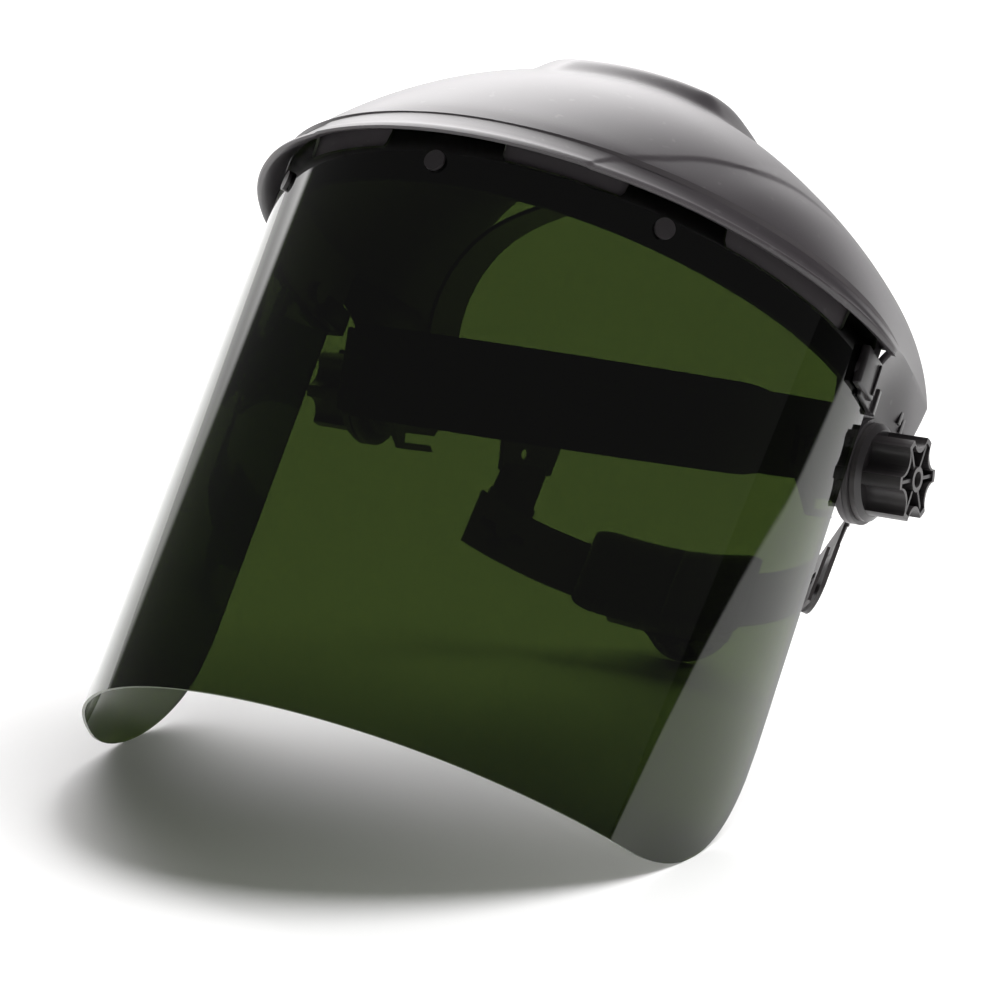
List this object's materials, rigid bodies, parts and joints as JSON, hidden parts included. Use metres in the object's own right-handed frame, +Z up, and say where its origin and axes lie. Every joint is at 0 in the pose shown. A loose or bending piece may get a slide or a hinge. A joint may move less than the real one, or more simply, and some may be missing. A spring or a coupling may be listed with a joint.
{
  "type": "face shield",
  "caption": "Industrial face shield: a black crown guard with a dark green curved window, hung by tension knobs on ratchet headgear.",
  "frame": {"origin": "centre of the bounding box's bottom: the shield stands as it is laid down, on the window's lower corners and the nape knob", "axes": "+X to the wearer's left, +Y to the wearer's back, +Z up; the window faces -Y and leans back"},
  "size_m": [0.2372, 0.3233, 0.234],
  "materials": {
    "crown_black": "fine satin moulded plastic",
    "green_sheet": "clear polished dark green sheet",
    "nylon_black": "matt",
    "knob_black": "satin moulded",
    "headgear_black": "satin polyethylene",
    "brass_nut": "bright",
    "fibre_rubber": "matt",
    "zinc_steel": "zinc plated",
    "brow_pad": "brushed cloth over foam"
  },
  "bodies": {
    "headgear": {"headband": "headgear_black", "sweatband": "brow_pad", "pivot_bracket_left": "headgear_black", "pivot_bracket_right": "headgear_black", "pivot_bolt_left": "zinc_steel", "pivot_bolt_right": "zinc_steel", "friction_washer_left": "fibre_rubber", "friction_washer_right": "fibre_rubber", "pressure_washer_left": "nylon_black", "pressure_washer_right": "nylon_black", "overhead_strap_left": "headgear_black", "overhead_strap_right": "headgear_black", "overhead_bridge": "headgear_black", "overhead_pegs": "nylon_black", "band_rivets": "zinc_steel", "hanger_left": "headgear_black", "hanger_right": "headgear_black", "hanger_pins": "nylon_black", "ratchet_housing": "knob_black", "ratchet_cover": "knob_black", "cover_screws": "zinc_steel", "nape_pad": "brow_pad"},
    "shield": {"crown_guard": "crown_black", "window": "green_sheet", "window_studs": "nylon_black", "side_clip_left": "nylon_black", "side_clip_right": "nylon_black"},
    "knob_left": {"tension_knob_left": "knob_black", "knob_insert_left": "brass_nut"},
    "knob_right": {"tension_knob_right": "knob_black", "knob_insert_right": "brass_nut"},
    "ratchet": {"ratchet_knob": "knob_black", "ratchet_pinion": "nylon_black", "detent_spring": "zinc_steel", "ratchet_screw": "zinc_steel"},
    "strap_left": {"nape_strap_left": "headgear_black"},
    "strap_right": {"nape_strap_right": "headgear_black"}
  },
  "joints": [
    {"name": "shield_tilt", "type": "hinge", "parent": "headgear", "child": "shield", "pos_m": [0, 0.07606, 0.09921], "axis": [-1, 0, 0], "range_deg": [-30, 50]},
    {"name": "knob_left_turn", "type": "hinge", "parent": "headgear", "child": "knob_left", "pos_m": [0.105, 0.07606, 0.09921], "axis": [1, 0, 0], "range_deg": [0, 300]},
    {"name": "knob_right_turn", "type": "hinge", "parent": "headgear", "child": "knob_right", "pos_m": [-0.105, 0.07606, 0.09921], "axis": [-1, 0, 0], "range_deg": [0, 300]},
    {"name": "ratchet_turn", "type": "hinge", "parent": "headgear", "child": "ratchet", "pos_m": [0, 0.14537, 0.01741], "axis": [0, -0.7554, 0.6553], "range_deg": [-75, 75]},
    {"name": "nape_slide_left", "type": "hinge", "parent": "headgear", "child": "strap_left", "pos_m": [0, 0.07134, 0.08163], "axis": [0, 0.6553, 0.7554], "range_deg": [-4.6, 4.6]},
    {"name": "nape_slide_right", "type": "hinge", "parent": "headgear", "child": "strap_right", "pos_m": [0, 0.07134, 0.08163], "axis": [0, -0.6553, -0.7554], "range_deg": [-4.6, 4.6]}
  ],
  "couplings": [
    {"joint": "nape_slide_left", "follows": "ratchet_turn", "ratio": 0.059524},
    {"joint": "nape_slide_right", "follows": "ratchet_turn", "ratio": 0.059524}
  ]
}
